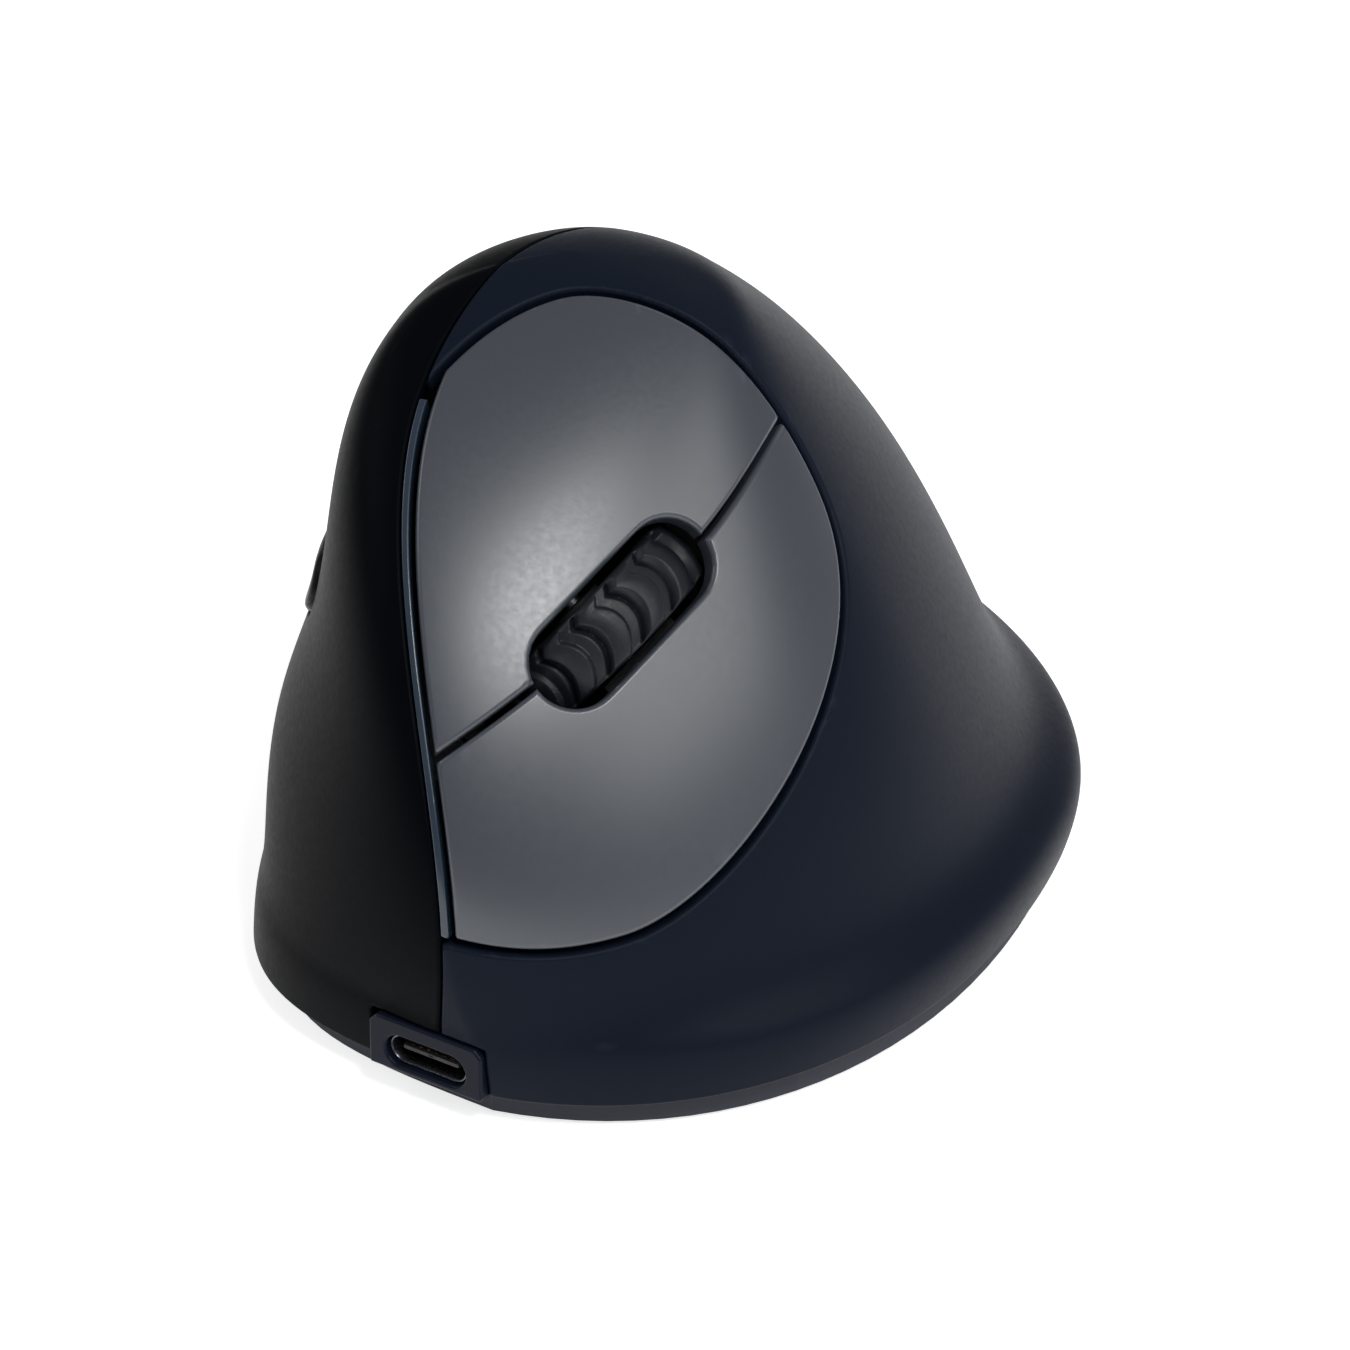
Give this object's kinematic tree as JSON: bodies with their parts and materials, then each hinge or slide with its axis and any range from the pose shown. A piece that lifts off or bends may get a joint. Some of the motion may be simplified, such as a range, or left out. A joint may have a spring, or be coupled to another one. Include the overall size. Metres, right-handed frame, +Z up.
{
  "type": "computer mouse",
  "caption": "Left-handed vertical computer mouse with two finger keys, a ribbed scroll wheel, thumb keys, a light strip and a front charging socket.",
  "frame": {"origin": "centre of the bounding box on the plane that the glide feet stand on", "axes": "+Z up; -Y is the front end with the charging socket; +X is the finger side; -X is the thumb side; +Y is the palm end"},
  "size_m": [0.0762, 0.1054, 0.0686],
  "materials": {
    "base_plastic": "fine satin",
    "glide_foot": "slick low-friction pad",
    "steel": "plain steel",
    "thumb_plastic": "soft-touch matt, near black",
    "finger_plastic": "soft-touch satin, dark slate",
    "strip_lens": "translucent blue-grey light strip",
    "bezel_plastic": "satin, bluish black",
    "socket_metal": "plated sheet metal",
    "board_green": "solder mask",
    "key_plastic": "soft-touch satin grey with a fine grain",
    "lever_plastic": "moulded",
    "frame_plastic": "moulded",
    "switch_black": "moulded",
    "plunger_white": "moulded",
    "hub_plastic": "moulded",
    "tyre_rubber": "ribbed soft rubber",
    "thumb_key_plastic": "satin",
    "lens_clear": "clear moulded lens",
    "cell_foil": "foil pouch",
    "knob_grey": "moulded",
    "cable_white": "flat flexible cable"
  },
  "bodies": {
    "base": {"base_plate": "base_plastic", "glide_foot_1": "glide_foot", "glide_foot_2": "glide_foot", "glide_foot_3": "glide_foot", "glide_foot_4": "glide_foot", "base_screw_1": "steel", "base_screw_2": "steel", "base_screw_3": "steel", "base_screw_4": "steel", "thumb_shell": "thumb_plastic", "finger_shell": "finger_plastic", "light_strip": "strip_lens", "port_bezel": "bezel_plastic", "usb_socket": "socket_metal", "usb_board": "board_green", "chassis": "frame_plastic", "index_pin": "steel", "middle_pin": "steel", "index_board": "board_green", "middle_board": "board_green", "index_switch": "switch_black", "middle_switch": "switch_black", "wheel_switch": "switch_black", "forward_switch": "switch_black", "back_switch": "switch_black", "thumb_board": "board_green", "thumb_bracket": "frame_plastic", "main_board": "board_green", "optical_sensor": "switch_black", "sensor_lens": "lens_clear", "battery": "cell_foil", "battery_tray": "base_plastic", "power_switch": "switch_black", "flat_cable": "cable_white"},
    "index": {"index_key": "key_plastic", "index_lever": "lever_plastic"},
    "middle": {"middle_key": "key_plastic", "middle_lever": "lever_plastic"},
    "index_plunger": {"index_plunger": "plunger_white"},
    "middle_plunger": {"middle_plunger": "plunger_white"},
    "carrier": {"wheel_carrier": "frame_plastic", "wheel_encoder": "switch_black", "wheel_plunger": "plunger_white"},
    "wheel": {"wheel_hub": "hub_plastic", "wheel_tyre": "tyre_rubber", "wheel_axle": "steel"},
    "forward": {"forward_key": "thumb_key_plastic", "forward_stem": "plunger_white"},
    "back": {"back_key": "thumb_key_plastic", "back_stem": "plunger_white"},
    "power": {"power_knob": "knob_grey"}
  },
  "joints": [
    {"name": "index_press", "type": "hinge", "parent": "base", "child": "index", "pos_m": [0.00184, -0.01099, 0.05404], "axis": [0.4731, -0.4731, -0.7431], "range_deg": [0, 1.2], "stiffness_Nm_per_rad": 0.4, "springref_deg": -1.72},
    {"name": "middle_press", "type": "hinge", "parent": "base", "child": "middle", "pos_m": [0.01291, -0.02206, 0.03665], "axis": [0.4731, -0.4731, -0.7431], "range_deg": [0, 1.2], "stiffness_Nm_per_rad": 0.4, "springref_deg": -1.72},
    {"name": "index_plunger_slide", "type": "slide", "parent": "base", "child": "index_plunger", "axis": [-0.5255, 0.5255, -0.6691], "range_m": [0, 0.0004]},
    {"name": "middle_plunger_slide", "type": "slide", "parent": "base", "child": "middle_plunger", "axis": [-0.5255, 0.5255, -0.6691], "range_m": [0, 0.0004]},
    {"name": "wheel_click", "type": "slide", "parent": "base", "child": "carrier", "axis": [-0.5255, 0.5255, -0.6691], "range_m": [0, 0.0005], "stiffness_N_per_m": 1500, "springref_m": -0.0005},
    {"name": "wheel_spin", "type": "hinge", "parent": "carrier", "child": "wheel", "pos_m": [-0.00218, -0.02427, 0.04041], "axis": [-0.76, 0.0636, 0.6468], "continuous": true},
    {"name": "forward_press", "type": "slide", "parent": "base", "child": "forward", "axis": [0.9703, 0, -0.2419], "range_m": [0, 0.0005], "stiffness_N_per_m": 1500, "springref_m": -0.0005},
    {"name": "back_press", "type": "slide", "parent": "base", "child": "back", "axis": [0.9703, 0, -0.2419], "range_m": [0, 0.0005], "stiffness_N_per_m": 1500, "springref_m": -0.0005},
    {"name": "power_slide", "type": "slide", "parent": "base", "child": "power", "axis": [1, 0, 0], "range_m": [0, 0.003]}
  ],
  "couplings": [
    {"joint": "index_plunger_slide", "follows": "index_press", "m_per_rad": 0.0175},
    {"joint": "middle_plunger_slide", "follows": "middle_press", "m_per_rad": 0.0135}
  ]
}
